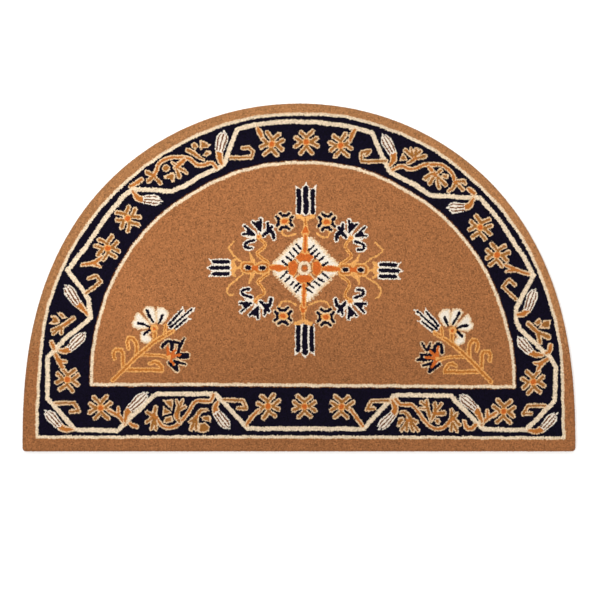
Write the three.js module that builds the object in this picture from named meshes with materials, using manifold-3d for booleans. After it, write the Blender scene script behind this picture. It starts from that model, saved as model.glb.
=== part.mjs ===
// Half round hearth rug, hand tufted in wool, lying flat on the floor.
//
// A tufted rug is one cloth. Wool yarn is shot through a cotton ground, the pile is sheared
// level, and the ground's edge is turned under and glued, so no seam or binding shows. The
// rug is therefore one solid: a flat slab whose outline is the cloth's own, with a side wall
// where the outer tufts stand upright and a rounded shoulder where they fan out and down.
//
// Units are millimetres and +Z is up. The underside lies in the plane Z = 0. The straight
// edge, which goes against the hearth, runs along X on the -Y side, and the arch rises
// towards +Y. The origin is on the floor, under the middle of the rug's own box.

import * as THREE from "three";
import { mergeVertices } from "three/addons/utils/BufferGeometryUtils.js";
import Module from "manifold-3d";

// Driving dimensions of the cut
const WIDTH = 1118; // along the straight edge, 44 in
const DEPTH = 704; // from the straight edge to the crown of the arch
const THICKNESS = 12; // ground cloth and pile together

// The arch is a superellipse, fuller at the haunches than a half circle:
// (x / half width)^2 + (y / depth)^ARCH_POWER = 1, with y measured from the straight edge.
const ARCH_POWER = 2.54;
const ARCH_STEPS = 144;
const CORNER = 9; // the two corners, where the turned edge can't be folded sharp
const CORNER_STEPS = 6;

// The pile's shoulder along the rim
const SHOULDER_WIDTH = 5.5;
const SHOULDER_HEIGHT = 5.5;
const SHOULDER_STEPS = 6;

const PILE_COLOUR = 0xb4804a;

const wasm = await Module();
wasm.setup();

// A point of the arch, from 0 at the right end of the straight edge to PI at its left end.
function archPoint(angle) {
  const across = (WIDTH / 2) * Math.cos(angle);
  const up = DEPTH * Math.pow(Math.max(Math.sin(angle), 0), 2 / ARCH_POWER);
  return new THREE.Vector2(across, up);
}

// The cloth's outline: the straight edge, a rounded corner, the arch, and the other corner.
function rugOutline() {
  const start = Math.asin(Math.pow(CORNER / DEPTH, ARCH_POWER / 2));
  const outline = new THREE.Shape();
  outline.moveTo(-WIDTH / 2 + CORNER, 0);
  outline.lineTo(WIDTH / 2 - CORNER, 0);
  const [right, left] = [archPoint(start), archPoint(Math.PI - start)];
  outline.quadraticCurveTo(WIDTH / 2, 0, right.x, right.y);
  for (let step = 1; step < ARCH_STEPS; step++) {
    const angle = start + ((Math.PI - 2 * start) * step) / ARCH_STEPS;
    const point = archPoint(angle);
    outline.lineTo(point.x, point.y);
  }
  outline.lineTo(left.x, left.y);
  outline.quadraticCurveTo(-WIDTH / 2, 0, -WIDTH / 2 + CORNER, 0);
  return outline;
}

// A closed geometry as a solid that can be joined and cut.
function solidOf(geometry) {
  const bare = geometry.clone();
  bare.deleteAttribute("normal");
  bare.deleteAttribute("uv");
  const merged = mergeVertices(bare, 1e-4);
  return new wasm.Manifold(
    new wasm.Mesh({
      numProp: 3,
      vertProperties: new Float32Array(merged.attributes.position.array),
      triVerts: new Uint32Array(merged.index.array),
    }),
  );
}

// A solid back as a geometry for a mesh.
function geometryOf(solid) {
  const mesh = solid.getMesh();
  const geometry = new THREE.BufferGeometry();
  geometry.setAttribute("position", new THREE.BufferAttribute(mesh.vertProperties, 3));
  geometry.setIndex(new THREE.BufferAttribute(mesh.triVerts, 1));
  geometry.computeVertexNormals();
  return geometry;
}

// The slab: the outline extruded with a rounded shoulder at the top and at the bottom, and
// the bottom one cut away, because the turned edge of the ground lies flat on the floor.
function rugSolid() {
  const slab = new THREE.ExtrudeGeometry(rugOutline(), {
    depth: THICKNESS - SHOULDER_HEIGHT,
    curveSegments: CORNER_STEPS,
    bevelEnabled: true,
    bevelThickness: SHOULDER_HEIGHT,
    bevelSize: SHOULDER_WIDTH,
    bevelOffset: -SHOULDER_WIDTH,
    bevelSegments: SHOULDER_STEPS,
  });
  const floor = new THREE.BoxGeometry(2 * WIDTH, 4 * DEPTH, 2 * THICKNESS);
  floor.translate(0, 0, -THICKNESS);
  return solidOf(slab).subtract(solidOf(floor));
}

const woolPile = new THREE.MeshStandardMaterial({
  name: "wool_pile",
  color: PILE_COLOUR,
  roughness: 0.95,
  metalness: 0,
});

const rug = new THREE.Mesh(geometryOf(rugSolid()), woolPile);
rug.name = "hearth_rug";
rug.position.set(0, -DEPTH / 2, 0);

const part = new THREE.Group();
part.name = "half_round_hearth_rug";
part.add(rug);

export default part;
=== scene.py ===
"""Half round hearth rug, hand tufted in wool, flat on the floor and seen from straight above."""

import bpy
import numpy as np
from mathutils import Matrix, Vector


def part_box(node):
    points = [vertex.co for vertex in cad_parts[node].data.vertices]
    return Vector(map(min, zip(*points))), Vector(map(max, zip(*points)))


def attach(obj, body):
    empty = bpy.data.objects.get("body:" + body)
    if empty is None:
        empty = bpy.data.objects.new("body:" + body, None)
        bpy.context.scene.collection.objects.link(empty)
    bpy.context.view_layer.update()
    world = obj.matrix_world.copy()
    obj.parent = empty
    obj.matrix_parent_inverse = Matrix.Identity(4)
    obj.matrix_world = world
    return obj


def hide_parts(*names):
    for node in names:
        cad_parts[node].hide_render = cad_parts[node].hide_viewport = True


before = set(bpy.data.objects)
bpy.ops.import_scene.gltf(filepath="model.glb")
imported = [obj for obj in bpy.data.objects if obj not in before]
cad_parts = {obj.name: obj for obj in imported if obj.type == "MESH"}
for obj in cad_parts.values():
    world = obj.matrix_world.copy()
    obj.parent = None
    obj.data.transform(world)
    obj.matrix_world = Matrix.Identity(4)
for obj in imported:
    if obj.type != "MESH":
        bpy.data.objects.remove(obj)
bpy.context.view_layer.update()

# Camera
# Straight above the rug with a long lens, so the pile hides its own sides. The arch points up
# in the picture and the straight edge runs level.
CAMERA_PLACE = (0.0021, -0.0456, 3.372)
CAMERA_LENS = 100
CAMERA_SENSOR = 36

camera = bpy.data.objects.new("camera", bpy.data.cameras.new("camera"))
camera.data.lens = CAMERA_LENS
camera.data.sensor_width = CAMERA_SENSOR
camera.location = CAMERA_PLACE
bpy.context.collection.objects.link(camera)
bpy.context.scene.camera = camera
bpy.context.scene.view_settings.view_transform = "Standard"

# Floor
# A smooth matt white board, larger than the view, on which the rug lies. It is rolled with
# emulsion paint, and is part of the stage, not of the rug.
FLOOR_SIZE = 12.0
FLOOR_DROP = 0.0004
BOARD_WHITES = ("#f8f8f7", "#fbfbfa")
ROLLER_MOTTLE = 0.0333


def linear(hex_colour):
    """A colour in sRGB hex as linear red, green and blue: the sRGB curve undone channel by channel."""
    srgb = np.array([int(hex_colour[at:at + 2], 16) for at in (1, 3, 5)]) / 255
    return tuple(np.where(srgb <= 0.04045, srgb / 12.92, ((srgb + 0.055) / 1.055) ** 2.4)) + (1.0,)


def add_node(tree, kind, sockets=(), **settings):
    """A new shader node with its settings, and for each named socket a value or the output that
    feeds it."""
    new = tree.nodes.new("ShaderNode" + kind)
    for name, value in settings.items():
        setattr(new, name, value)
    for name, value in dict(sockets).items():
        if isinstance(value, bpy.types.NodeSocket):
            tree.links.new(value, new.inputs[name])
        else:
            new.inputs[name].default_value = value
    return new


def new_material(name):
    """A material, its node tree, and the output that gives the place on a piece, in metres."""
    material = bpy.data.materials.new(name)
    material.use_nodes = True
    material.node_tree.nodes.clear()
    place = add_node(material.node_tree, "TexCoord").outputs["Object"]
    return material, material.node_tree, place


def mesh_object(name, points, loops, starts, material):
    """A smooth shaded object at the origin, from points, the corners of all faces in turn, and each
    face's first corner."""
    mesh = bpy.data.meshes.new(name)
    mesh.vertices.add(len(points))
    mesh.vertices.foreach_set("co", np.asarray(points, np.float32).ravel())
    mesh.loops.add(len(loops))
    mesh.loops.foreach_set("vertex_index", np.asarray(loops, np.int32))
    mesh.polygons.add(len(starts))
    mesh.polygons.foreach_set("loop_start", np.asarray(starts, np.int32))
    mesh.update(calc_edges=True)
    mesh.polygons.foreach_set("use_smooth", np.ones(len(starts), bool))
    mesh.materials.append(material)
    piece = bpy.data.objects.new(name, mesh)
    bpy.context.collection.objects.link(piece)
    return piece


# Matt white board: rolled emulsion paint, an even white with the faint mottle of the roller.
board_paint, tree, place = new_material("matt_white_board")
mottle = add_node(tree, "TexNoise", {"Vector": place, "Scale": 1 / ROLLER_MOTTLE, "Detail": 3.0})
dim_white, full_white = (linear(white) for white in BOARD_WHITES)
shade = add_node(
    tree, "Mix", {"Factor": mottle.outputs["Fac"], "A": dim_white, "B": full_white},
    data_type="RGBA",
)
paint = add_node(tree, "BsdfPrincipled", {"Base Color": shade.outputs[2], "Roughness": 0.9})
add_node(tree, "OutputMaterial", {"Surface": paint.outputs[0]})

corners = np.array([(-1, -1), (1, -1), (1, 1), (-1, 1)]) * FLOOR_SIZE / 2
floor = mesh_object("floor", np.c_[corners, np.full(4, -FLOOR_DROP)], np.arange(4), [0], board_paint)

# Light
# Soft studio light: a broad key from beyond the arch, a little to the left, a fill from above,
# and the white room all round.
KEY_PLACE = (-0.45, 0.8, 1.1)
KEY_SIZE = 0.6
KEY_POWER = 9.5
FILL_PLACE = (0.0, -0.3, 3.2)
FILL_SIZE = 2.4
FILL_POWER = 26
ROOM_STRENGTH = 0.98

for name, spot, size, power in (
    ("key", KEY_PLACE, KEY_SIZE, KEY_POWER),
    ("fill", FILL_PLACE, FILL_SIZE, FILL_POWER),
):
    lamp = bpy.data.objects.new(name, bpy.data.lights.new(name, "AREA"))
    lamp.data.shape = "DISK"
    lamp.data.size = size
    lamp.data.energy = power
    lamp.location = spot
    lamp.rotation_euler = (-lamp.location).to_track_quat("-Z", "Y").to_euler()
    bpy.context.collection.objects.link(lamp)

room = bpy.data.worlds.new("white_room")
room.use_nodes = True
room.node_tree.nodes["Background"].inputs["Color"].default_value = linear("#ffffff")
room.node_tree.nodes["Background"].inputs["Strength"].default_value = ROOM_STRENGTH
bpy.context.scene.world = room

# Ground cloth with the feet of the pile
# The rug's body: a cotton ground cloth, latexed underneath, its edge turned under and glued, and
# the dense lower part of the pile that stands in it. It is one flat closed slab.
MM = 0.001
rug_low, rug_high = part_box("hearth_rug")
HALF_WIDTH = round((rug_high[0] - rug_low[0]) / 2 / MM)
DEPTH = round((rug_high[1] - rug_low[1]) / MM)
THICKNESS = round((rug_high[2] - rug_low[2]) / MM)
ARCH_POWER = 2.54
ARCH_STEPS = 1200
CORNER = 9.0
CORNER_STEPS = 12
SHOULDER = 5.5
PILE_FOOT = 8.4
FOOT_INSET = 1.5
GROUND_TURN = 1.4
SLAB_SPACING = 7.0


def on_floor(places, heights):
    """Places in mm, across and up from the straight edge, and heights, as points in metres."""
    heights = np.broadcast_to(heights, len(places))
    return np.c_[places[:, 0], places[:, 1] - DEPTH / 2, heights] * MM


def cut_edge(spacing):
    """Evenly spaced points on the cloth's edge and the directions that point out of it: the straight
    edge, then the arch (x / half width)^2 + (y / depth)^power = 1, with a quarter round at both
    corners."""
    start = np.arcsin((CORNER / DEPTH) ** (ARCH_POWER / 2))
    angle = np.linspace(start, np.pi - start, ARCH_STEPS)
    arch = np.c_[HALF_WIDTH * np.cos(angle), DEPTH * np.sin(angle) ** (2 / ARCH_POWER)]
    t = np.linspace(0, 1, CORNER_STEPS, endpoint=False)[:, None]
    right = (1 - t) ** 2 * [HALF_WIDTH - CORNER, 0] + 2 * t * (1 - t) * [HALF_WIDTH, 0] + t**2 * arch[0]
    left = right[::-1] * [-1, 1]
    edge = np.vstack([right, arch, left, right[:1]])
    travel = np.r_[0, np.hypot(*np.diff(edge, axis=0).T).cumsum()]
    even = np.linspace(0, travel[-1], int(travel[-1] / spacing), endpoint=False)
    points = np.c_[np.interp(even, travel, edge[:, 0]), np.interp(even, travel, edge[:, 1])]
    along = np.roll(points, -1, axis=0) - np.roll(points, 1, axis=0)
    out = np.c_[along[:, 1], -along[:, 0]] / np.hypot(*along.T)[:, None]
    return points, out


MAP_FLARE = 3.0


def bake_map(piece):
    """Lays the piece flat on its own map: straight down, flared a little with depth so that side
    walls have some width too, and filling the whole map."""
    mesh = piece.data
    points = np.empty(len(mesh.vertices) * 3, np.float32)
    mesh.vertices.foreach_get("co", points)
    points = points.reshape(-1, 3)
    flat = points[:, :2] * (1 + MAP_FLARE * (THICKNESS * MM - points[:, 2:]))
    flat = (flat - flat.min(0)) / (flat.max(0) - flat.min(0))
    index = np.empty(len(mesh.loops), np.int32)
    mesh.loops.foreach_get("vertex_index", index)
    mesh.uv_layers.new(name="OFBake").data.foreach_set("uv", flat[index].astype(np.float32).ravel())


edge, edge_out = cut_edge(SLAB_SPACING)
# A point well inside, towards which the rings draw in
middle = np.array([0.0, 0.44 * DEPTH])
# The section at the edge, as inset and height: the turned ground cloth, the side of the pile a
# little further in, and the slope up to its level part.
profile = (
    (FOOT_INSET, 0.0),
    (FOOT_INSET, GROUND_TURN),
    (FOOT_INSET + 0.3, GROUND_TURN + 0.4),
    (FOOT_INSET + 0.3, THICKNESS - SHOULDER - 1.5),
    (FOOT_INSET + 3.0, PILE_FOOT - 0.4),
    (FOOT_INSET + 5.0, PILE_FOOT),
)
# Rings between the edge and the middle, each at a share of the way out
shrink = (0.93, 0.8, 0.6, 0.35)
foot = edge - edge_out * FOOT_INSET
rings = [on_floor(middle + (foot - middle) * share, 0.0) for share in shrink[::-1]]
rings += [on_floor(edge - edge_out * inset, height) for inset, height in profile]
inner = edge - edge_out * profile[-1][0]
rings += [on_floor(middle + (inner - middle) * share, PILE_FOOT) for share in shrink]
around = len(edge)
ends = on_floor(middle[None].repeat(2, 0), np.array([0.0, PILE_FOOT]))
slab_points = np.vstack(rings + [ends])
here = np.arange(around)
ahead = np.roll(here, -1)
first = np.arange(len(rings) - 1)[:, None] * around
quads = np.stack([first + here, first + ahead, first + around + ahead, first + around + here], -1)
quads = quads.reshape(-1, 4)
last = (len(rings) - 1) * around
under = np.c_[np.full(around, last + around), ahead, here]
over = np.c_[np.full(around, last + around + 1), last + here, last + ahead]
slab_loops = np.r_[quads.ravel(), under.ravel(), over.ravel()]
slab_starts = np.r_[np.arange(len(quads)) * 4, len(quads) * 4 + np.arange(2 * around) * 3]

# Pile feet in camel wool: the yarn's lower part, packed close under the tufts. Its colour is painted
# shade: darker than the camel dye, for the shade of the tufts above, with a dark fleck as coarse as
# one yarn end.
YARN_WIDTH = 1.43
yarn_scale = 1 / (YARN_WIDTH * MM)
painted_shade_feet_wool, tree, place = new_material("camel_wool_pile_feet_painted_shade")
strands = add_node(
    tree, "TexNoise", {"Vector": place, "Scale": yarn_scale, "Detail": 3.0},
).outputs["Fac"]
shade = add_node(
    tree, "Mix", {"Factor": strands, "A": linear("#6f4526"), "B": linear("#966238")},
    data_type="RGBA",
)
rough = add_node(tree, "Bump", {"Height": strands, "Strength": 0.6, "Distance": 0.8 * MM})
wool_shader = add_node(
    tree, "BsdfPrincipled",
    {"Base Color": shade.outputs[2], "Roughness": 0.95, "Normal": rough.outputs["Normal"]},
)
add_node(tree, "OutputMaterial", {"Surface": wool_shader.outputs[0]})

# Cotton ground: plain woven unbleached cloth, brushed with latex, so the weave shows as a low grid.
# A wave node repeats its bands every 2 pi / 20 of the scaled distance.
THREAD_SPACING = 1.96
weave_scale = 2 * np.pi / 20 / (THREAD_SPACING * MM)
cotton, tree, place = new_material("latexed_cotton_ground")
threads_across, threads_along = (
    add_node(
        tree, "TexWave", {"Vector": place, "Scale": weave_scale, "Distortion": 0.6},
        bands_direction=direction,
    ).outputs["Fac"]
    for direction in "XY"
)
weave = add_node(
    tree, "Math", {0: threads_across, 1: threads_along}, operation="MULTIPLY",
).outputs[0]
shade = add_node(
    tree, "Mix", {"Factor": weave, "A": linear("#b3a385"), "B": linear("#d6c9ad")},
    data_type="RGBA",
)
rough = add_node(tree, "Bump", {"Height": weave, "Strength": 0.4, "Distance": 0.5 * MM})
cloth_shader = add_node(
    tree, "BsdfPrincipled",
    {"Base Color": shade.outputs[2], "Roughness": 0.8, "Normal": rough.outputs["Normal"]},
)
add_node(tree, "OutputMaterial", {"Surface": cloth_shader.outputs[0]})

ground = mesh_object("ground_cloth", slab_points, slab_loops, slab_starts, painted_shade_feet_wool)
ground.data.materials.append(cotton)
face_heights = np.empty(len(slab_starts) * 3, np.float32)
ground.data.polygons.foreach_get("center", face_heights)
is_cotton = face_heights.reshape(-1, 3)[:, 2] < (GROUND_TURN + 0.1) * MM
ground.data.polygons.foreach_set("material_index", is_cotton.astype(np.int32))
bake_map(ground)
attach(ground, "root")
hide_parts("hearth_rug")

# Pile
# Wool yarn in eleven dyes, shot through the ground cloth from the back with a hand gun, one dye at
# a time along the drawn lines, then sheared level. Each tuft is one yarn end, and the design is
# made by which dye stands where.
FINE_PITCH = 1.65
PLAIN_PITCH = 2.3
ROW_SHARE = 0.866
PLACE_SHAKE = 0.27
# Each dye has its colour, the share by which its lightest ends are lighter than that and its
# darkest darker, and its sheen. The last is no dye of its own: it is the camel painted a little
# lighter and less red, for the sheen that the arch band's pile catches.
DYES = {
    "camel": ("#935f39", 0.68, 0.03), "navy": ("#0a0616", 0.95, 0.0), "cream": ("#d6bda2", 0.6, 0.03),
    "white": ("#d7ccbc", 0.25, 0.03), "gold": ("#ccae8a", 0.45, 0.03), "amber": ("#cc9454", 0.45, 0.03),
    "ochre": ("#8f5d2b", 0.5, 0.03), "tawny": ("#a5652c", 0.45, 0.03), "rust": ("#b65c24", 0.4, 0.03),
    "umber": ("#6b4020", 0.4, 0.03), "biscuit": ("#966841", 0.68, 0.03),
}
CAMEL, NAVY, CREAM, WHITE, GOLD, AMBER, OCHRE, TAWNY, RUST, UMBER, CAMEL_PAINTED_SHEEN = range(len(DYES))
random = np.random.default_rng(11)


def distance_inside(places):
    """How far places lie inside the cloth's edge, in mm: the arch's equation over the length of its
    slope, or the height above the straight edge where that is less."""
    x, y = np.abs(places[:, 0]) / HALF_WIDTH, (places[:, 1] / DEPTH).clip(0)
    slope = np.hypot(2 * x / HALF_WIDTH, ARCH_POWER * y ** (ARCH_POWER - 1) / DEPTH)
    return np.minimum((1 - x**2 - y**ARCH_POWER) / slope.clip(1e-6), places[:, 1])


def scattered_rows(pitch):
    """Places a pitch apart in staggered rows that lie a little closer, each place shaken a little."""
    rows = int(DEPTH / pitch / ROW_SHARE)
    columns = int(2 * HALF_WIDTH / pitch)
    row, column = np.divmod(np.arange(rows * columns), columns)
    places = np.c_[(column + row % 2 / 2) * pitch - HALF_WIDTH, (row + 0.5) * pitch * ROW_SHARE]
    places += random.uniform(-PLACE_SHAKE, PLACE_SHAKE, places.shape) * pitch
    return places[distance_inside(places) > SHOULDER]


fine = scattered_rows(FINE_PITCH)
plain = scattered_rows(PLAIN_PITCH)
spots = np.vstack([fine, plain])

# The gun never follows the drawn line quite exactly, so the design wavers by half a millimetre,
# and each yarn end lands about as far off by itself.
WAVER = 0.3
YARN_STRAY = 0.42
x, y = spots.T
waver_x = np.sin(y / 9.1 + 2 * np.sin(x / 27)) + np.sin(x / 12.3 + y / 6.9)
waver_y = np.sin(x / 9.7 + 2 * np.sin(y / 31)) + np.sin(y / 11.1 - x / 7.3)
drawn_x = x + WAVER * waver_x + random.normal(0, YARN_STRAY, len(x))
drawn_y = y + WAVER * waver_y + random.normal(0, YARN_STRAY, len(x))
dye = np.full(len(spots), CAMEL)


# The design, in mm from the middle of the straight edge: a camel band, a navy border between cream
# lines, with a cream ribbon that zigzags among rosettes, leaves, vines and buds, and a camel field
# with a medallion in the middle and a spray in each lower corner.
PATH_STEPS = 6


def smooth(*corners):
    """A path through corners: on each span a cubic that leaves and reaches its ends along the line
    between their neighbours."""
    c = np.array(corners, float)
    padded = np.vstack([2 * c[0] - c[1], c, 2 * c[-1] - c[-2]])
    before, start, end, after = (padded[k:len(c) - 1 + k, None] for k in range(4))
    t = (np.arange(PATH_STEPS) / PATH_STEPS)[None, :, None]
    path = (
        (2 * t**3 - 3 * t**2 + 1) * start + (t**3 - 2 * t**2 + t) * (end - before) / 2
        + (3 * t**2 - 2 * t**3) * end + (t**3 - t**2) * (after - start) / 2
    )
    return np.vstack([path.reshape(-1, 2), c[-1:]])


def stitch(path, width, yarn):
    """Gives a dye to all spots nearer to a path than half its width. A list of widths is spread evenly
    over the path, and each span is a line with round ends that widens or narrows."""
    path = np.array(path, float)
    given = np.linspace(0, 1, np.size(width))
    widths = np.interp(np.linspace(0, 1, len(path)), given, np.atleast_1d(width))
    for start, end, wide, narrow in zip(path, path[1:], widths / 2, widths[1:] / 2):
        reach = max(wide, narrow)
        low, high = np.minimum(start, end) - reach, np.maximum(start, end) + reach
        beside_it = (drawn_x > low[0]) & (drawn_x < high[0])
        near = np.flatnonzero(beside_it & (drawn_y > low[1]) & (drawn_y < high[1]))
        away_x, away_y = drawn_x[near] - start[0], drawn_y[near] - start[1]
        run = end - start
        share = ((away_x * run[0] + away_y * run[1]) / (run @ run)).clip(0, 1)
        gap = np.hypot(away_x - share * run[0], away_y - share * run[1])
        dye[near[gap < wide + (narrow - wide) * share]] = yarn


def outlined(strokes, core, rim, rim_width):
    """Stitches all strokes of a motif in the rim's dye first, wider by the rim on both sides, and then
    all in the core's dye, so that one outline runs round the whole motif."""
    for path, width in strokes:
        stitch(path, np.atleast_1d(width) + 2 * rim_width, rim)
    for path, width in strokes:
        stitch(path, width, core)


def edged(path, width, core, rim, rim_width):
    """One stroke with an outline of its own."""
    outlined([(path, width)], core, rim, rim_width)


def disc(at, width, yarn):
    """A round spot of one dye."""
    stitch([at, (at[0] + 0.01, at[1])], width, yarn)


def set_at(at, *places, turn=0.0, mirror=(1, 1)):
    """Places drawn round a motif's own middle, mirrored, turned by degrees, and moved to where it is."""
    angle = np.radians(turn)
    turned = np.array([[np.cos(angle), np.sin(angle)], [-np.sin(angle), np.cos(angle)]])
    return np.array(at, float) + np.array(places, float) * mirror @ turned


def fill(path, yarn):
    """Gives a dye to all spots inside a closed path: those with an odd number of the path's spans to
    their left at their own height."""
    crossed = np.zeros(len(dye), int)
    for (x0, y0), (x1, y1) in zip(path, np.roll(path, -1, axis=0)):
        level = np.flatnonzero((y0 > drawn_y) != (y1 > drawn_y))
        crossed[level] += x0 + (drawn_y[level] - y0) / (y1 - y0) * (x1 - x0) < drawn_x[level]
    dye[crossed % 2 == 1] = yarn


def stitch_round(corners, width, yarn):
    """A line of one dye through all corners and back to the first."""
    stitch(np.vstack([corners, corners[:1]]), width, yarn)


def drawn_in(corners, share):
    """The same shape at a share of its size, round the mean of its corners."""
    return corners.mean(0) + (corners - corners.mean(0)) * share


def beside(path, distance):
    """The path moved to its right by a distance, square to its own run."""
    run = np.gradient(path, axis=0)
    return path + np.c_[run[:, 1], -run[:, 0]] / np.hypot(*run.T)[:, None] * distance


# The two cream lines, uneven like the maker's own: one parts the camel band along the cut edge from
# the navy border, the other the border from the camel field. Towards the camel both have a row of
# gold, and the inner one has a row of umber towards the navy, which stands partly for the cream
# tufts that lean over the navy and partly for painted shade where the two meet.
LINE_WIDTH = 4.8
FRINGE = 1.5
border_foot = np.array([
    (-527.5, 30.5), (-400, 30.4), (-250, 30.9), (0, 30.6), (250, 30), (400, 29.2), (533.5, 28.5),
])
border_arch = smooth(
    (533.5, 28.5), (532, 86), (527.6, 201), (507.2, 297), (466.6, 399.5), (411.8, 484.4),
    (343.9, 553.5), (268.8, 610), (183.7, 649.4), (93.5, 675.2), (0, 680.6), (-93, 673.6),
    (-182.5, 647.3), (-265, 606), (-340.8, 550.6), (-407.8, 481.8), (-463.4, 397.3),
    (-504.4, 296.1), (-519.8, 200.5), (-527.2, 86), (-527.5, 30.5),
)
field_foot = np.array([
    (-419, 135.5), (-350, 135.3), (-200, 135.8), (-100, 135.1), (0, 134), (100, 133.1),
    (200, 132.4), (350, 131.1), (434, 130.5),
])
field_arch = smooth(
    (434, 130.5), (433, 175), (425.8, 226), (403.5, 304), (372, 373.5), (328, 435.5),
    (274.6, 488.5), (211.8, 529.6), (144, 562.5), (73, 579.4), (8, 584), (-63, 579),
    (-135, 560.6), (-201, 529.4), (-261.4, 490.3), (-313.6, 442), (-355.5, 383),
    (-388.6, 316), (-410.2, 237.4), (-417.5, 185), (-419, 135.5),
)
fill(np.vstack([border_foot, border_arch]), NAVY)
fill(np.vstack([field_foot, field_arch]), CAMEL)
for line in (border_foot, border_arch):
    stitch(beside(line, FRINGE), LINE_WIDTH, GOLD)
    stitch(line, LINE_WIDTH, CREAM)
for line in (field_foot, field_arch):
    stitch(beside(line, FRINGE), LINE_WIDTH, UMBER)
    stitch(beside(line, -FRINGE), LINE_WIDTH, GOLD)
    stitch(line, LINE_WIDTH, CREAM)

# Ribbon, a broad cream line that zigzags between the two edges of the border: along the hearth and
# up the right side, over the crown, and down the left side.
RIBBON_WIDTH = 8.9
ribbon_right = (
    (-507, 190), (-507, 107), (-451, 45), (-366, 43), (-294, 113), (-286, 117), (-168, 117), (-103, 47),
    (130, 46.5), (192, 113), (200, 115), (306, 113), (372, 46), (458, 44), (516, 104), (518, 172),
    (506, 192), (446, 247), (438, 264), (438, 290), (473, 356), (454, 392), (402, 470), (366, 512),
    (322, 514), (264, 518), (230, 541), (186, 563), (176, 578), (147, 644),
)
ribbon_crown = smooth(
    (147, 644), (104, 655.5), (60, 662), (8, 666), (-50, 664.5), (-98, 657.5), (-124, 651),
)
ribbon_left = (
    (-124, 651), (-134, 628), (-151, 580), (-162, 573), (-202, 555), (-232, 535), (-256, 526),
    (-334, 530), (-352, 518), (-392, 470), (-430, 413), (-467, 367), (-442, 335), (-424, 306),
    (-420, 272), (-430, 262), (-472, 228), (-507, 190),
)
for stretch in (ribbon_right, ribbon_crown, ribbon_left):
    stitch(stretch, RIBBON_WIDTH, CREAM)

# Rosettes and the leaves beside them, tufted in ochre, tawny and gold: a rosette is four forked arms
# with gold rims round a rust heart, and the leaves are single strokes that spring from the ribbon.
RIM = 2.4


def rosette(at, turn):
    """Four arms that fork into two blunt lobes each, the upper and lower ones wider apart, one
    outline round all, and a heart. No two are quite alike, so each tip is moved by up to a
    millimetre and a half."""
    lobes = []
    for quarter, half_gap in enumerate((8.6, 12.6, 8.6, 12.6)):
        for side in (-1, 1):
            tip = np.array([21, side * half_gap]) + random.uniform(-1.5, 1.5, 2)
            lobe = set_at(at, (6, 0), (10.5, side * 1.2), tip, turn=turn + 90 * quarter)
            lobes.append((lobe, [6.2, 4.8, 5.6]))
    outlined(lobes, OCHRE, GOLD, RIM)
    disc(at, 14.5, AMBER)
    disc(at, 10.5, RUST)


def stalk(*path, widths=(4, 6, 4), fork=None):
    """A tawny leaf stem with gold rims, thickest in the middle, with or without a side tip."""
    strokes = [(smooth(*path), widths)]
    if fork is not None:
        strokes.append(([path[1], fork], [6, 2.6]))
    outlined(strokes, TAWNY, GOLD, RIM)


for rosette_place, rosette_turn in (
    ((-55, 621), -6), ((15, 625), 0), ((84, 618), 4), ((-345, 471), 28), ((-386, 411), 10),
    ((366, 453), -12), ((400, 397), -6), ((-467, 146), -4), ((-400, 89), 2), ((-62, 92), 6),
    ((11, 92), 0), ((86, 91), -3), ((473, 141), 4), ((413, 82), -2),
):
    rosette(rosette_place, rosette_turn)

stalk((-83, 653), (-79, 644), (-76, 637), widths=(4, 8, 6))
stalk((113, 650), (107, 639), (103, 628), widths=(4, 8, 4))
stalk((-438, 377), (-416, 381), (-398, 393), fork=(-400, 374))
stalk((-491, 197), (-484, 184), (-477, 170), widths=(5, 8.5, 6), fork=(-469, 182))
stalk((-351, 56), (-364, 73), (-384, 83), fork=(-364, 90))
stalk((-106, 54), (-95, 70), (-82, 84))
stalk((128, 52), (118, 67), (105, 85))
stalk((464, 359), (438, 367), (416, 377), fork=(419, 364))
stalk((501, 187), (489, 178), (482, 166), widths=(5, 8, 5), fork=(475, 179))
stalk((369, 55), (381, 68), (398, 79), fork=(379, 84))
stalk((-341, 57), (-334, 53), (-327, 51), widths=(5, 6, 5))
stalk((333, 61), (337, 50), (347, 47), (357, 56), widths=(4, 6, 6, 5))
stalk((-499, 221), (-497, 215), (-494, 207), widths=(6, 6, 4))
stalk((499, 199), (506, 204), (507, 215), widths=(5, 6.5, 6))
stalk((-339, 536), (-327, 543), (-318, 549), widths=(5, 6.5, 6.5))
stalk((353, 520), (348, 526), (342, 531), widths=(6, 6.5, 5))

# Bent leaves in ochre with gold rims
for hook_leaf in (
    ((-430, 320), (-414, 331), (-400, 344), (-409, 355), (-424, 350)),
    ((-138, 593), (-96, 594), (-93, 605), (-102, 614), (-114, 613)),
    ((175, 586), (126, 586), (126, 604), (143, 607), (136, 599)),
    ((437, 308), (422, 322), (411, 333), (424, 347), (435, 337)),
    ((-492, 98), (-453, 99), (-444, 82), (-461, 81)),
    ((-152, 105), (-113, 104), (-107, 88), (-123, 88)),
    ((182, 103), (147, 103), (137, 86), (152, 87)),
    ((496, 93), (462, 93), (452, 77), (468, 77)),
):
    edged(hook_leaf, 4.2, OCHRE, GOLD, RIM)

# Tulip buds: three white petals, each with a fine umber vein, in a tawny calyx that grows from
# the ribbon.
PETAL_STEP = 6.2


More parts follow.
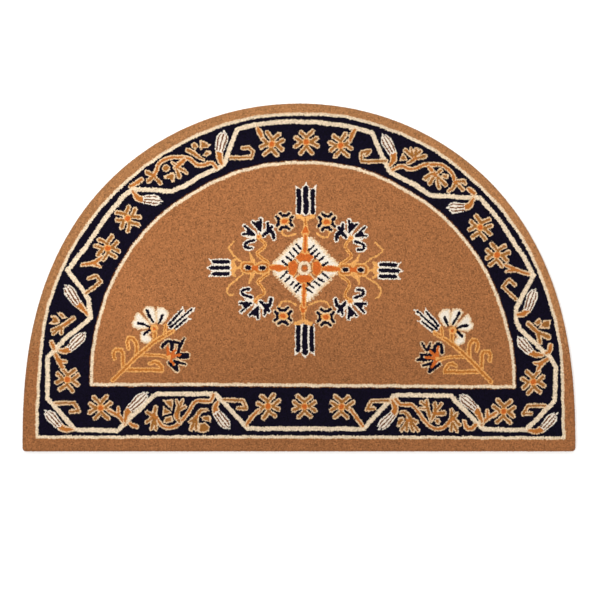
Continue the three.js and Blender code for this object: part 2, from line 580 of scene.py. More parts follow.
def bud(root, calyx, foot, tip, width=1.0):
    """Three petals from the foot to the tip that lean together at the point, the outer ones shorter,
    over a calyx that widens from the root to the foot."""
    root, calyx, foot, tip = (np.array(place, float) for place in (root, calyx, foot, tip))
    length = np.linalg.norm(tip - foot)
    forward = (tip - foot) / length
    aside = np.array([-forward[1], forward[0]]) * PETAL_STEP * width
    edged(smooth(root, calyx, foot), [4, 8.5, 11], TAWNY, GOLD, RIM)
    veins = []
    for side in (-1, 0, 1):
        petal = smooth(
            foot + aside * side * 0.85 + forward * 2,
            foot + aside * side * 1.1 + forward * length * 0.6,
            foot + aside * side * 0.8 + forward * (length - 4 - 5 * abs(side)),
        )
        stitch(petal, [6.4, 8.2, 5.4], WHITE)
        stitch([petal[-1], petal[-1] + forward * 4], [5, 1.6], WHITE)
        veins.append(petal)
    for petal in veins:
        stitch(petal, [3, 2.8, 1.8], UMBER)


bud((-456, 45), (-470, 45), (-482, 52), (-512, 84))
bud((-484, 205), (-473, 204), (-463, 208), (-430, 241))
bud((-427, 278), (-437, 290), (-446, 298), (-472, 338), 1.05)
bud((-335, 526), (-325, 512), (-314, 509), (-275, 507))
bud((-155, 580), (-160, 594), (-161, 606), (-150, 648), 1.15)
bud((183, 578), (191, 591), (189, 603), (168, 642), 1.05)
bud((352, 511), (344, 497), (333, 493), (298, 493), 1.05)
bud((440, 277), (452, 278), (460, 286), (477, 330), 1.05)
bud((491, 196), (478, 196), (467, 201), (440, 232))
bud((464, 43), (479, 42), (491, 47), (521, 78))
bud((-351, 60), (-347, 76), (-342, 86), (-305, 120))
bud((-164, 101), (-169, 90), (-167, 80), (-139, 45))
bud((187, 104), (194, 88), (190, 76), (160, 45))
bud((370, 60), (363, 76), (356, 86), (323, 116))


# Vines, tawny with gold rims, and their blooms, ochre with gold rims and a tawny heart.
def vine(*path):
    """A winding stem of even width."""
    edged(smooth(*path), 4.6, TAWNY, GOLD, RIM)


def bloom(heart, *petals):
    """Petals, each a path and its widths, with one outline round all, and a heart: its ends and width."""
    outlined(petals, OCHRE, GOLD, RIM)
    stitch(heart[:2], heart[2], TAWNY)


def petal_alone(corners):
    """A separate petal: the shape between its corners in gold, and the same shape in ochre, drawn in
    by the rim. How far in is reckoned from its area over half its outline."""
    ahead = np.roll(corners, -1, axis=0)
    double_area = abs(np.sum(corners[:, 0] * ahead[:, 1] - corners[:, 1] * ahead[:, 0]))
    depth = double_area / np.hypot(*(ahead - corners).T).sum()
    fill(corners, GOLD)
    fill(drawn_in(corners, max(1 - RIM / depth, 0.3)), OCHRE)


# On the arch, left
vine((-166, 573), (-173, 582), (-181, 583), (-191, 579), (-205, 578), (-212, 583), (-220, 591),
     (-233, 594), (-254, 594), (-268, 591), (-280, 584), (-285, 576), (-287, 568), (-291, 559))
bloom(((-294, 557), (-292, 558), 7.65), (((-297, 559), (-306, 563)), [5, 7]),
      (((-296, 554), (-304, 546)), [5, 6]), (((-290, 553), (-280, 542)), [5, 5]))
edged(((-231, 590), (-242, 579), (-249, 573)), [5, 7, 7], TAWNY, GOLD, RIM)
bloom(((-243, 577), (-248, 573), 5.1), (((-248, 577), (-255, 583)), [3, 2.5]),
      (((-243, 572), (-232, 568), (-226, 562)), [4, 4.5, 2]), (((-247, 568), (-242, 556)), [4, 7]))
bloom(((-208, 601), (-204, 598), 3.4),
      (((-224, 608), (-212, 603), (-201, 594), (-192, 589)), [6, 6, 5, 2]))
# On the arch, right
vine((189, 569), (200, 575), (210, 576), (222, 571), (238, 572), (252, 579), (268, 580), (285, 579),
     (296, 573), (305, 566), (311, 557), (314, 548))
bloom(((315, 543), (318, 544), 6.8), (((318, 545), (333, 546), (335, 541)), [5, 5, 3]),
      (((319, 540), (331, 529)), [4, 4.5]), (((314, 538), (311, 531), (302, 526)), [5, 5, 4]))
edged(((262, 575), (268, 567), (275, 560)), [5, 6, 6], TAWNY, GOLD, RIM)
bloom(((272, 561), (276, 558), 5.1), (((268, 562), (255, 552)), [4, 7]),
      (((273, 556), (264, 542)), [4, 6.5]), (((279, 555), (282, 534)), [4, 5.5]),
      (((282, 553), (296, 539)), [4, 5.5]), (((277, 562), (285, 567)), [4, 5]))
bloom(((231, 591), (235, 593), 6.8), (((228, 596), (214, 608)), [4, 5]),
      (((229, 598), (226, 612)), [5, 3]), (((233, 597), (237, 610)), [4, 5]),
      (((236, 600), (245, 607)), [4, 4]), (((236, 592), (254, 597)), [4, 6]),
      (((231, 588), (220, 582)), [5, 3]))
# Beside the hearth, left
vine((-172, 115), (-178, 104), (-191, 102), (-209, 101), (-221, 83), (-234, 66), (-247, 54), (-262, 49),
     (-274, 51), (-283, 61), (-290, 73))
bloom(((-296, 74), (-288, 70), 6.8), (((-292, 76), (-289, 90)), [6, 5]),
      (((-296, 74), (-306, 80)), [5, 5]), (((-297, 68), (-307, 60)), [5, 4]),
      (((-293, 66), (-297, 47)), [6, 4]), (((-290, 64), (-288, 46)), [5, 4]))
bloom(((-246, 69), (-248, 79), 4.675), (((-241, 61), (-247, 73), (-242, 92)), [4, 8, 7]),
      (((-243, 92), (-247, 103)), [5, 3]), (((-240, 92), (-235, 104)), [5, 3]),
      (((-240, 86), (-229, 92)), [5, 3]))
bloom(((-205, 74), (-209, 69), 4.675), (((-186, 85), (-196, 84), (-203, 77), (-208, 68)), [3, 4, 5, 6]),
      (((-208, 68), (-220, 61)), [6, 4]), (((-210, 66), (-217, 46)), [7, 5]),
      (((-208, 66), (-207, 45)), [6, 4]))
# Beside the hearth, right
vine((195, 107), (203, 97), (212, 95), (226, 95), (233, 90), (245, 74), (256, 60), (266, 50), (278, 46),
     (292, 50), (303, 60), (308, 66))
bloom(((303, 61), (311, 68), 6.8), (((308, 66), (308, 85)), [6, 4]), (((312, 70), (319, 78)), [5, 4]),
      (((313, 66), (323, 54)), [4, 5]), (((309, 60), (307, 43)), [5, 4]),
      (((311, 58), (319, 42)), [5, 4]))
bloom(((257, 98), (257, 94), 2.55), (((266, 62), (263, 78), (258, 92)), [3, 6, 6]),
      (((257, 93), (246, 101)), [4, 3.5]), (((258, 92), (257, 102)), [5, 4.5]),
      (((255, 87), (244, 88)), [4, 3]))
bloom(((272, 79), (283, 77), 5.1), (((268, 66), (276, 78)), [4, 6]), (((276, 78), (274, 98)), [6, 4.5]),
      (((277, 84), (287, 97)), [4, 4]), (((280, 77), (292, 78)), [6, 7]))
bloom(((218, 64), (223, 63), 6.8), (((206, 80), (213, 80), (220, 74), (224, 66)), [3.5, 4, 5, 6]),
      (((226, 65), (237, 60)), [6, 5]), (((227, 60), (240, 44)), [5, 4]),
      (((225, 58), (230, 43)), [5, 4]), (((218, 60), (207, 44)), [5, 4]),
      (((219, 58), (217, 43)), [4, 4]))
# On the sides
bloom(((-466, 261), (-474, 256), 5.1), (((-454, 269), (-472, 257), (-497, 246)), [5, 7, 4]),
      (((-482, 251), (-495, 239)), [5, 4]), (((-479, 250), (-479, 239)), [5, 4]))
bloom(((475, 248), (482, 241), 3.825), (((463, 258), (474, 248), (482, 240)), [6.5, 6.5, 5]),
      (((481, 241), (486, 222)), [5, 6]), (((484, 240), (503, 232)), [5, 8]))
# Petals that stand alone between the vines
for petal in (
    ((-277, 572), (-273, 579), (-265, 580), (-260, 575), (-261, 568), (-267, 564), (-274, 566)),
    ((-274, 556), (-263, 560), (-255, 565), (-250, 558), (-251, 545), (-256, 545), (-260, 550), (-270, 551)),
    ((-218, 620), (-213, 625), (-206, 623), (-203, 615), (-207, 610), (-215, 613)),
    ((-201, 629), (-191, 627), (-178, 619), (-183, 614), (-193, 613), (-199, 608)),
    ((-194, 598), (-187, 608), (-176, 606), (-178, 600), (-186, 597), (-190, 594)),
    ((285, 556), (291, 561), (302, 559), (302, 552), (293, 550)),
    ((208, 604), (202, 587), (219, 587), (215, 597)),
    ((-276, 105), (-253, 106), (-256, 82)),
    ((-274, 93), (-275, 73), (-255, 78)),
    ((-274, 59), (-270, 69), (-255, 73), (-253, 62), (-268, 57)),
    ((-199, 70), (-190, 74), (-178, 74), (-177, 58), (-184, 62), (-193, 64)),
    ((-202, 59), (-190, 60), (-180, 51), (-182, 43), (-192, 38), (-203, 40)),
    ((273, 62), (276, 69), (283, 68), (286, 61), (282, 55), (275, 56)),
    ((196, 52), (203, 50), (214, 66), (210, 71), (202, 69), (198, 60)),
    ((-502, 275), (-489, 275), (-482, 265), (-486, 258), (-505, 258), (-497, 266)),
    ((-488, 281), (-478, 282), (-466, 271), (-477, 268)),
    ((473, 261), (485, 271), (489, 267), (490, 260), (481, 254)),
    ((493, 266), (508, 266), (506, 248), (484, 250)),
):
    petal_alone(np.array(petal, float))


# Sprays in the lower corners of the field: a stem with hook leaves, a white flower, a navy bud and
# a rust flower with navy petals.
def spray(foot, side):
    """The left spray from its foot, and for the right one the same mirrored and a little narrower."""
    def at(*places):
        return set_at(foot, *places, mirror=(side, 1))

    for petal in (
        ((86, 117), (78, 130), (69, 145), (74, 152), (88, 151), (91, 143), (94, 120)),
        ((98, 118), (95, 132), (97, 151), (109, 150), (119, 139), (113, 126), (103, 116)),
        ((81, 116), (66, 132), (58, 140), (52, 133), (54, 123), (46, 120), (47, 112), (57, 107), (78, 110)),
        ((82, 106), (64, 101), (65, 83), (77, 79), (83, 84), (80, 90), (74, 92), (77, 100)),
    ):
        corners = drawn_in(at(*petal), 0.82)
        stitch_round(corners, 8, GOLD)
        stitch_round(corners, 4.4, CREAM)
        fill(corners, WHITE)
    for mark in (
        ((76, 144), (80, 134), (89, 121)), ((106, 134), (104, 128), (99, 118)),
        ((57, 118), (68, 117), (81, 111)), ((70, 97), (75, 102), (82, 106)),
    ):
        stitch(at(*mark), [6.4, 6, 4.2], NAVY)
    bud_petals = (
        ((120, 117), (146, 144), (147, 153)), ((123, 111), (165, 145), (172, 149)),
        ((130, 107), (155, 126), (165, 127)),
    )
    for start, end, tip in bud_petals:
        stitch(at(start, end), [9, 9.8], WHITE)
        stitch(at(end, tip), [6.5, 2], WHITE)
    for start, end, tip in bud_petals:
        stitch(at(start, (end[0], end[1] + 1)), [5.4, 4.4], NAVY)
    for leaf in (
        at((28, 26), (27, 42), (27, 58), (23, 65), (12, 65), (8, 58), (10, 47)),
        at((53, 50), (55, 66), (53, 80), (47, 88), (38, 88), (35, 80), (38, 68)),
        at((34, 25), (106, 24), (105, 31), (99, 38), (91, 41), (82, 37)),
    ):
        edged(leaf, [4.4, 4.4, 3.4], TAWNY, AMBER, 2.7)
    edged(smooth(*at((64, 55), (98, 54), (116, 49))), 3.2, TAWNY, AMBER, 2.2)
    edged(smooth(*at((92, 82), (91, 94), (91, 104))), 4.5, TAWNY, AMBER, 2.6)
    stem = smooth(*at((7, 4), (22, 19), (41, 38), (63, 58), (87, 78), (112, 94), (128, 103)))
    edged(stem, [4.2, 4.2, 3.4], TAWNY, AMBER, 2.9)
    edged(smooth(*at((112, 96), (112, 104), (113, 113))), 3, TAWNY, AMBER, 2.2)
    disc(at((90, 108))[0], 16, AMBER)
    disc(at((90, 107))[0], 7, RUST)


def thistle(hub, navy, rust):
    """The rust flower with navy petals: all navy strokes with one gold outline, then the rust ones."""
    outlined(navy, NAVY, GOLD, 2)
    for tip in rust:
        stitch([hub, tip], [8, 5], RUST)
    disc(hub, 8, AMBER)


spray((-382, 141), 1)
spray((394, 137), -0.94)
thistle(
    (-262, 191),
    (
        (smooth((-275, 212), (-268, 221), (-261, 223), (-256, 216), (-257, 207)), 7.5),
        (((-252, 222), (-243, 220), (-240, 213)), [6, 8, 7]), (((-241, 212), (-231, 229)), [7, 4]),
        (((-244, 197), (-241, 213)), 7), (((-241, 194), (-227, 194)), 12.5),
        (((-262, 180), (-246, 164)), [6, 7.5]), (((-247, 181), (-246, 165)), [6, 5]),
        (((-250, 182), (-229, 177)), [7, 5]),
    ),
    ((-265, 210), (-249, 206), (-240, 196), (-253, 177)),
)
thistle(
    (279, 188),
    (
        (smooth((274, 201), (275, 213), (281, 218), (287, 214), (289, 200)), 7.2),
        (((248, 219), (256, 207), (268, 205)), [5, 7, 6]), (((265, 219), (261, 208)), [5, 6]),
        (((247, 196), (266, 196)), 6.5), (((240, 186), (272, 187)), 6.5), (((247, 196), (249, 187)), 6),
        (((251, 174), (269, 179), (263, 162), (283, 178)), [6, 7, 6]),
    ),
    ((281, 211), (265, 204), (256, 191), (268, 172)),
)


# Medallion: a white diamond with navy ticks round four rust lobes, arms with a pair of eyes, and
# tulips, fans and small rosettes round it.
MEDALLION = np.array([11, 370.5])


def tulip(foot, tip, step, widths, rim, lean):
    """Three navy strokes side by side with white outlines, pointed and a little splayed at their tips."""
    foot, tip = np.array(foot, float), np.array(tip, float)
    length = np.linalg.norm(tip - foot)
    forward = (tip - foot) / length
    aside = np.array([-forward[1], forward[0]]) * step
    strokes = []
    for side, width in zip((-1, 0, 1), widths):
        start = foot + aside * side + forward * width / 2
        end = foot + aside * side * lean + forward * (length - 8 - 5 * abs(side))
        strokes.append((start, end, end + forward * 5 + aside * side * 0.2, width))
    for start, end, point, width in strokes:
        stitch([start, end], width + 2 * rim, WHITE)
        stitch([end, point + (point - end) * 1.2], [width + 2 * rim - 1, 2], WHITE)
    for start, end, point, width in strokes:
        stitch([start, end], [width, width + 1], NAVY)
        stitch([end, point], [width, 2], NAVY)


def fan(at, mirror):
    """A half open flower: a hook, a lying fork, a wedge and a cross shaped petal round a hub."""
    def put(*places):
        return set_at(at, *places, mirror=mirror)

    for ray in ((24, -2), (24, 14), (4, 24), (-12, 16)):
        stitch(put((0, 0), ray), [4, 2.4], WHITE)
    petals = (
        (smooth(*put((9, -7), (21, -10), (28, -16), (24, -22), (14, -23))), 6),
        (put((10, 5), (29, 22)), [5, 4.6]), (put((10, 5), (31, 5)), 5.6),
        (put((10, 6), (20, 10)), [4, 11]), (put((-4, 12), (12, 29)), [4, 5]),
        (put((-4, 12), (-4, 35)), [4, 5.6]), (put((-3, 13), (1, 25)), [4, 13]),
        (put((-9, 2), (-20, 12)), [5.5, 9]), (put((-20, 12), (-17, 28)), [8, 5]),
        (put((-20, 12), (-26, 21)), [8, 5.5]), (smooth(*put((-20, 12), (-28, 8), (-31, -3))), [8, 6.5]),
    )
    outlined(petals, NAVY, WHITE, 2.2)
    disc(at, 11, AMBER)
    disc(at, 5, RUST)


def small_rosette(at):
    """Four navy brackets, outlined in gold, round a square rust heart."""
    brackets = [
        (set_at(at, (-9, 16), (-4.5, 11.5), (4.5, 11.5), (9, 16), turn=turn), 6.2)
        for turn in (0, 90, 180, 270)
    ]
    outlined(brackets, NAVY, GOLD, 2.2)
    stitch(set_at(at, (-3, 0), (3, 0)), 13.5, AMBER)
    stitch(set_at(at, (-2, 0), (2, 0)), 8.5, RUST)


for small_place in ((-29, 465), (56, 464), (-32, 274), (54, 272)):
    small_rosette(small_place)

# Tendrils: four from the eye arms to the fans, tawny with amber rims, and thin amber ones with free
# ends. Then the wedges between them and the cups of the side tulips.
for tendril in (
    ((-62, 382), (-75, 391), (-84, 400), (-73, 410), (-68, 419), (-77, 428), (-82, 434)),
    ((-62, 359), (-75, 350), (-83, 343), (-75, 332), (-70, 320), (-82, 312), (-87, 306)),
    ((84, 379), (98, 388), (105, 396), (97, 407), (94, 416), (102, 428)),
    ((84, 356), (98, 345), (101, 335), (94, 322), (95, 312), (103, 305)),
):
    edged(smooth(*tendril), 2.6, TAWNY, AMBER, 2.1)
for tendril in (
    ((-114, 382), (-130, 395), (-140, 407), (-141, 413), (-132, 424)),
    ((-114, 358), (-128, 345), (-142, 334), (-145, 322), (-140, 316), (-133, 318)),
    ((133, 380), (145, 390), (158, 396), (169, 406), (161, 415), (154, 422)),
    ((130, 356), (143, 347), (158, 338), (165, 325), (162, 314), (155, 310)),
    ((-8, 440), (-22, 435), (-33, 439), (-34, 447)), ((36, 440), (51, 433), (60, 437), (61, 445)),
    ((-6, 296), (-20, 303), (-34, 303), (-40, 293)), ((22, 297), (40, 304), (55, 302), (62, 291)),
):
    stitch(smooth(*tendril), [4, 3.6], AMBER)
for wedge in (
    ((-93, 383), (-99, 402)), ((-93, 360), (-101, 340)), ((106, 377), (117, 386), (121, 398)),
    ((108, 359), (119, 350), (122, 337)),
):
    stitch(wedge, [10, 3], AMBER)
for cup, stem in (
    (((-127, 389), (-134, 381), (-131, 371), (-135, 362), (-129, 354)), ((-118, 371), (-131, 371))),
    (((149, 384), (156, 376), (154, 367), (157, 358), (149, 351)), ((140, 367), (155, 367))),
):
    stitch(smooth(*cup), [4, 9, 12, 9, 4], AMBER)
    stitch(stem, 6, AMBER)

# Eye arms: two navy eyes in gold, each in a tawny ring with an amber outline, and a rust bar between
for inner, outer in (((-74, 371), (-103, 372)), ((94, 368), (125, 367))):
    outlined([([(x - 4, y), (x + 4, y)], 20) for x, y in (inner, outer)], TAWNY, AMBER, 3.2)
    stitch([inner, outer], 9, RUST)
    for x, y in (inner, outer):
        stitch([(x - 2.6, y), (x + 2.6, y)], 11.6, GOLD)
        stitch([(x - 2.2, y), (x + 2.2, y)], 8.8, NAVY)

tulip((-139, 371.4), (-184, 371.4), 11.4, (7.4, 7.8, 7.4), rim=2.6, lean=1.1)
tulip((161, 366), (207, 365), 11.4, (7.4, 7.8, 7.4), rim=2.6, lean=1.05)
tulip((14, 479), (14, 539), 13.5, (8.4, 10.8, 9.2), rim=2.2, lean=1.04)
tulip((12, 258), (12, 193), 13, (8.8, 10.8, 8.4), rim=2.2, lean=1.08)
# Stems up and down, each with a cup for the tulip, a neck and a bulb
for upward, foot, neck in ((1, 443, 470), (-1, 291, 266)):
    stem = np.array([MEDALLION[0] + 2 * upward, foot])
    cup = set_at(stem, (-15, 32), (-8, 30), (0, 26), (8, 30), (15, 32), mirror=(1, upward))
    stitch(smooth(*cup), 8.5, AMBER)
    edged([stem, (stem[0], neck)], [5, 3], TAWNY, AMBER, 2)
    bulb = set_at(stem, (0, -28), (0, -10), (0, 0), (0, 10), mirror=(1, upward))
    edged(bulb, [4, 6, 12.5, 4.5], RUST, AMBER, 2.2)

# The diamond, where across and up from its middle add to less than its reach, with a ragged edge
u, v = drawn_x - MEDALLION[0], drawn_y - MEDALLION[1]
around_it = np.arctan2(v, u)
ragged = 1.6 * np.sin(around_it * 44 + 2 * np.sin(around_it * 9)) + 1.4 * np.sin(around_it * 67 + 1)
ragged += random.normal(0, 1.2, len(u))
diamond = np.abs(u - 1.5) + np.abs(v - 0.5)
within = (u > -64) & (u < 68) & (v < 62) & (v > -68)
for reach, yarn in ((77.5, GOLD), (73, CREAM), (68, WHITE)):
    dye[within & (diamond < reach + ragged)] = yarn
dye[diamond < 42] = CAMEL
for lobe in (
    ((-18, 19.5), (-8, 13), (11, 13), (20, 20), (16, 26), (6, 31), (1, 37), (-4, 31), (-13, 27)),
    ((-19, -20.5), (-8, -14), (9, -14), (18, -19.5), (13, -25), (4, -30), (-1, -38), (-6, -30), (-14, -25)),
    ((-33, 1), (-30, 11), (-21, 15), (-16, 10), (-14, 1), (-16, -8), (-22, -15), (-30, -11)),
    ((16, 1), (18, 11), (25, 15), (32, 9), (35, 1), (31, -9), (25, -15), (17, -10)),
):
    corners = set_at(MEDALLION, *lobe)
    stitch_round(corners, 3, AMBER)
    fill(corners, RUST)
for angle in (45, 135, 225, 315):
    stitch(set_at(MEDALLION, (14, 0), (29, 0), turn=angle), 3, GOLD)
stitch(set_at(MEDALLION, (-5, 0), (5, 0)), 16, CAMEL)
ring = ((-9.5, -5), (-5, -10.5), (5, -10.5), (9.5, -5), (9.5, 5), (5, 10.5), (-5, 10.5), (-9.5, 5))
for width, yarn in ((9, CAMEL), (6.4, GOLD), (4.8, CREAM)):
    stitch_round(set_at(MEDALLION, *ring), width, yarn)
disc(MEDALLION, 8, RUST)
# The arms and stems pass through the diamond's four corners.
for arm, widths, rim_width in (
    (((-36, 0), (-52, 1), (-68, 1)), [5, 13, 7], 1.6), (((38, -1), (50, -1), (70, -2)), [5, 12, 6], 1.6),
    (((1, 34), (2, 66)), [5.5, 5], 3), (((-1, -34), (-1, -76)), [5.5, 5], 2.6),
):
    edged(set_at(MEDALLION, *arm), widths, RUST, AMBER, rim_width)
for tick in (
    ((-5, 419), (3, 410)), ((-11, 411), (-1, 400)), ((-19, 402), (-11, 393)), ((-26, 394), (-16, 386)),
    ((-34, 386), (-23, 376)), ((30, 416), (20, 407)), ((36, 408), (25, 399)), ((42, 401), (33, 393)),
    ((51, 395), (42, 386)), ((58, 383), (48, 376)), ((60, 350), (48, 360)), ((50, 343), (40, 350)),
    ((42, 336), (32, 344)), ((30, 331), (18, 340)), ((26, 322), (15, 330)), ((-38, 350), (-23, 364)),
    ((-28, 344), (-19, 353)), ((-18, 337), (-12, 343)), ((-10, 331), (-1, 340)), ((-6, 322), (2, 333)),
):
    stitch(tick, [4.2, 4.8], NAVY)

# Fans, one in each corner between the arms
fan((-81, 434), (-1, 1))
fan((105, 431), (0.97, 1))
fan((-87, 305), (-1, -1))
fan((104, 304), (0.97, -1))


# Tufts
# The cut yarn ends, held by the ground cloth and sheared level over the whole rug: fine ones
# wherever dyes meet, so that the drawing stays sharp, and thicker ones in the plain parts between.
BUSY_CELL = 2.7
RIM_SPACING = 2.0
BAND_WIDTH = 30.0


def busy(places, yarn):
    """Whether more than one dye is found in the cells round a place: the least and the greatest dye
    number of each cell and its eight neighbours differ."""
    cell = ((places - [-HALF_WIDTH, 0]) / BUSY_CELL).astype(int) + 1
    shape = cell.max(0) + 2
    least = np.full(shape, len(DYES))
    most = np.full(shape, -1)
    np.minimum.at(least, tuple(cell.T), yarn)
    np.maximum.at(most, tuple(cell.T), yarn)
    shifts = [(a, b) for a in (-1, 0, 1) for b in (-1, 0, 1)]
    least = np.min([np.roll(least, shift, (0, 1)) for shift in shifts], axis=0)
    most = np.max([np.roll(most, shift, (0, 1)) for shift in shifts], axis=0)
    return (least != most)[tuple(cell.T)]


# A tuft's foot and height in pitches, wide enough to meet its neighbours half way up, and how far
# the shears pass under the solid's top
TUFT_REACH = 2.375
TUFT_HEIGHT = 1.25
SHEARED_OFF = 0.35
is_busy = busy(spots, dye)
is_fine = np.arange(len(spots)) < len(fine)
kept = is_busy == is_fine
tuft_place = spots[kept]
tuft_dye = dye[kept]
tuft_pitch = np.where(is_fine[kept], FINE_PITCH, PLAIN_PITCH)
tuft_out = np.tile([0.0, 0.0, 1.0], (len(tuft_place), 1))
tuft_tip = on_floor(tuft_place, THICKNESS - SHEARED_OFF + random.uniform(-0.35, 0.3, len(tuft_place)))
tuft_reach = np.stack([tuft_pitch, tuft_pitch], 1) * TUFT_REACH
tuft_height = tuft_pitch * TUFT_HEIGHT

# Along the cut edge the outer tufts have no neighbour to hold them up, so they fan out and down:
# two rows of long ones down the side and four rows over the shoulder. Each has its tilt from level
# in degrees, and its height where it is on the side.
RIM_ROWS = ((0, 3.3), (8, 3.9), (16, None), (36, None), (58, None), (80, None))
RIM_TUFT_HEIGHT = 2.2
RIM_REACH = 1.71 * RIM_SPACING
SIDE_REACH = 5.7
SHOULDER_REACH = 2.28 * RIM_SPACING
rim, rim_out = cut_edge(RIM_SPACING)
rim_places, rim_outs, rim_reaches = [], [], []
for row, (tilt, side_height) in enumerate(RIM_ROWS):
    rise = np.radians(tilt)
    shift = random.uniform(-0.5, 0.5, len(rim)) + 0.5 * RIM_SPACING * (row % 2)
    along = np.c_[-rim_out[:, 1], rim_out[:, 0]] * shift[:, None]
    inset = SHOULDER * (1 - np.cos(rise)) + 0.2 + random.uniform(0, 0.5, len(rim))
    height, row_reach = side_height, SIDE_REACH
    if side_height is None:
        height, row_reach = THICKNESS - SHOULDER + SHOULDER * np.sin(rise) - SHEARED_OFF, SHOULDER_REACH
    height = height + random.uniform(-0.3, 0.3, len(rim))
    rim_places.append(on_floor(rim - rim_out * inset[:, None] + along, height))
    rim_outs.append(np.c_[rim_out * np.cos(rise), np.full(len(rim), np.sin(rise))])
    rim_reaches.append(np.tile((RIM_REACH, row_reach), (len(rim), 1)))
rim_count = len(RIM_ROWS) * len(rim)
tuft_tip = np.vstack([tuft_tip] + rim_places)
tuft_out = np.vstack([tuft_out] + rim_outs)
tuft_reach = np.vstack([tuft_reach] + rim_reaches)
tuft_height = np.r_[tuft_height, np.full(rim_count, RIM_TUFT_HEIGHT)]
tuft_dye = np.r_[tuft_dye, np.full(rim_count, CAMEL)]
tuft_turn = random.uniform(0, np.pi * 2 / 3, len(tuft_tip))
tuft_tone = random.normal(0.5, 0.22, len(tuft_tip)).clip(0, 1)

# Painted shade and light: each tuft's colour is darkened in broad patches, and lightened where
# the depth is below nothing, so that light seems to fall unevenly over the rug. Each shade has its
# middle, its reach, its depth in the camel wool, and its depth in the other dyes.
PAINTED_SHADES = (
    ((40, 60), (380, 175), 0.2, 0.1),  # low in the middle
    ((-480, 20), (190, 150), 0.08, 0.0),  # the left end of the hearth edge
    ((60, 700), (420, 110), 0.01, 0.12),  # round the crown
    ((-370, 300), (120, 150), -0.1, -0.04),  # the left of the field
    ((60, 5), (500, 25), -0.06, 0.0),  # along the hearth
)
across, up = tuft_tip[:, 0] / MM, tuft_tip[:, 1] / MM + DEPTH / 2
tuft_painted_light = 1 - sum(
    np.where(tuft_dye == CAMEL, camel_depth, other_depth)
    * np.exp(-((across - at[0]) / reach[0]) ** 2 - ((up - at[1]) / reach[1]) ** 2)
    for at, reach, camel_depth, other_depth in PAINTED_SHADES
)
on_band = np.r_[distance_inside(tuft_place) < BAND_WIDTH, np.ones(rim_count, bool)]
on_left = tuft_tip[:, 0] < MEDALLION[0] * MM

# Along the arch the band's camel is painted a little lighter and less red, a painted sheen for the
# light its pile catches there, blended with the plain camel where the two meet. Towards the right
# it is painted lighter still.
PAINTED_SHEEN_FROM = 210
SHEEN_MIXED_OVER = 35
LIT_FROM, LIT_OVER, LIT_DEPTH = 150, 350, 0.2
sheen_height = up + random.normal(0, SHEEN_MIXED_OVER, len(up))
on_arch = on_band & (tuft_dye == CAMEL) & (sheen_height > PAINTED_SHEEN_FROM)
tuft_dye[on_arch] = CAMEL_PAINTED_SHEEN
tuft_painted_light += on_arch * LIT_DEPTH * ((across - LIT_FROM) / LIT_OVER).clip(0, 1)


def tuft_piece(name, chosen, wool):
    """One mesh of many tufts. Each is a pyramid on a three sided foot, square to the way it points,
    turned at random and leaning a little."""
    tip, out = tuft_tip[chosen], tuft_out[chosen]
    level = np.cross(out, [0.0, 0.0, 1.0]) + [[1e-9, 0, 0]]
    level /= np.linalg.norm(level, axis=1)[:, None]
    level = np.where(out[:, 2:] > 0.999, [[1.0, 0, 0]], level)
    steep = np.cross(out, level)
    turn = tuft_turn[chosen]
    middle = tip - out * tuft_height[chosen, None] * MM
    wide = level * tuft_reach[chosen, :1] * MM
    tall = steep * tuft_reach[chosen, 1:] * MM
    feet = []
    for third in range(3):
        angle = turn + third * 2 * np.pi / 3
        feet.append(middle + wide * np.cos(angle)[:, None] + tall * np.sin(angle)[:, None])
    lean = random.normal(0, 0.16, tip.shape) * MM
    points = np.stack([tip + lean] + feet, 1)
    points[..., 2] = points[..., 2].clip(0.3 * MM)
    first = np.arange(len(tip))[:, None] * 4
    loops = (first + [1, 2, 0, 2, 3, 0, 3, 1, 0, 3, 2, 1]).ravel()
    starts = np.arange(0, len(loops), 3)
    piece = mesh_object(name, points.reshape(-1, 3), loops, starts, wool)
    tone = piece.data.attributes.new("tone", "FLOAT", "POINT")
    tone.data.foreach_set("value", tuft_tone[chosen].repeat(4).astype(np.float32))
    # Painted light and shade: a factor on the tuft's colour, darker in some places and lighter in others
    painted_light = piece.data.attributes.new("painted_light", "FLOAT", "POINT")
    painted_light.data.foreach_set("value", tuft_painted_light[chosen].repeat(4).astype(np.float32))
    bake_map(piece)
    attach(piece, "root")
    return piece


# Single fibres are too fine to show, so they are drawn as clumps. Where one hank of yarn gave way to
# the next, the shade changes slowly. The shares say how much fleck and hank show in a yarn end.
FIBRE_CLUMP = 0.385
HANK_SHADE = 71.4
FLECK_SHARE = 0.3
HANK_SHARE = 0.05


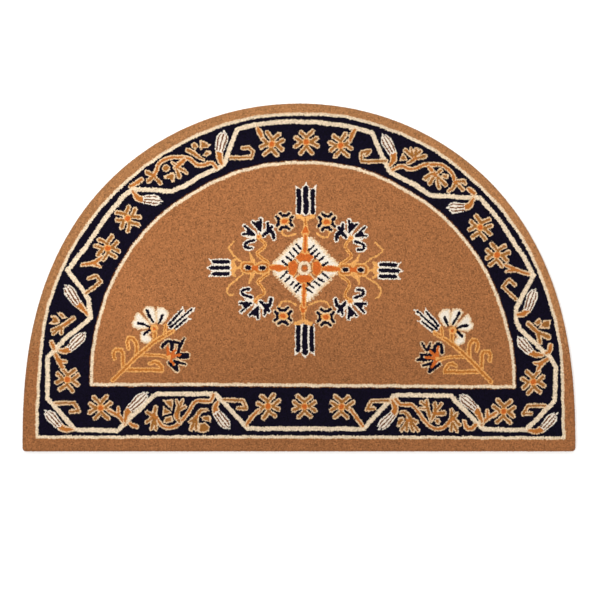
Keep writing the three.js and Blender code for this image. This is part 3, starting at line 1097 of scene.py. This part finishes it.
def dyed_wool(name, colour, spread, sheen):
    """Dyed worsted wool, sheared: each end takes the dye a little differently, the fibres show as a
    fine fleck, and their loose ends give a soft sheen."""
    material, tree, place = new_material(name)
    tone = add_node(tree, "Attribute", attribute_name="tone").outputs["Fac"]
    fleck = add_node(
        tree, "TexNoise", {"Vector": place, "Scale": yarn_scale, "Detail": 2.0},
    ).outputs["Fac"]
    hanks = add_node(
        tree, "TexNoise", {"Vector": place, "Scale": 1 / (HANK_SHADE * MM), "Detail": 3.0},
    ).outputs["Fac"]
    both = add_node(tree, "Mix", {"Factor": FLECK_SHARE, "A": tone, "B": fleck})
    all_three = add_node(tree, "Mix", {"Factor": HANK_SHARE, "A": both.outputs[0], "B": hanks})
    dark, light = (
        tuple(min(level * (1 + step), 1.0) for level in linear(colour)) for step in (-spread, spread)
    )
    shade = add_node(
        tree, "Mix", {"Factor": all_three.outputs[0], "A": dark, "B": light},
        data_type="RGBA",
    )
    # Painted light and shade: the dye's colour scaled by each tuft's painted light factor
    painted_light = add_node(tree, "Attribute", attribute_name="painted_light").outputs["Fac"]
    lit = add_node(tree, "VectorMath", {0: shade.outputs[2], "Scale": painted_light}, operation="SCALE")
    fibres = add_node(
        tree, "TexNoise", {"Vector": place, "Scale": 1 / (FIBRE_CLUMP * MM), "Detail": 2.0},
    ).outputs["Fac"]
    rough = add_node(tree, "Bump", {"Height": fibres, "Strength": 0.35, "Distance": 0.3 * MM})
    shader = add_node(
        tree, "BsdfPrincipled",
        {"Base Color": lit.outputs[0], "Roughness": 0.92, "Sheen Weight": sheen, "Sheen Roughness": 0.5,
         "Specular IOR Level": 0.08, "Normal": rough.outputs["Normal"]},
    )
    add_node(tree, "OutputMaterial", {"Surface": shader.outputs[0]})
    return material


wools = {name: dyed_wool(name + "_wool", *yarn) for name, yarn in DYES.items()}
is_camel, is_navy = tuft_dye == CAMEL, tuft_dye == NAVY
# Each group of tufts has its piece's name, its tufts, its wool, and the record's slot for it.
groups = [
    ("camel_hearth_band_tufts", is_camel & on_band, "camel", "wool_camel"),
    ("camel_arch_band_tufts", tuft_dye == CAMEL_PAINTED_SHEEN, "biscuit", "wool_camel"),
    ("camel_field_tufts_left", is_camel & ~on_band & on_left, "camel", "wool_camel"),
    ("camel_field_tufts_right", is_camel & ~on_band & ~on_left, "camel", "wool_camel"),
    ("navy_tufts_left", is_navy & on_left, "navy", "wool_navy"),
    ("navy_tufts_right", is_navy & ~on_left, "navy", "wool_navy"),
]
for slot, yarns in (
    ("wool_cream", ("cream", "white")), ("wool_gold", ("gold", "amber", "ochre")),
    ("wool_rust", ("tawny", "rust", "umber")),
):
    groups += [(yarn + "_tufts", tuft_dye == list(DYES).index(yarn), yarn, slot) for yarn in yarns]
for name, chosen, yarn, slot in groups:
    piece = tuft_piece(name, np.flatnonzero(chosen), wools[yarn])
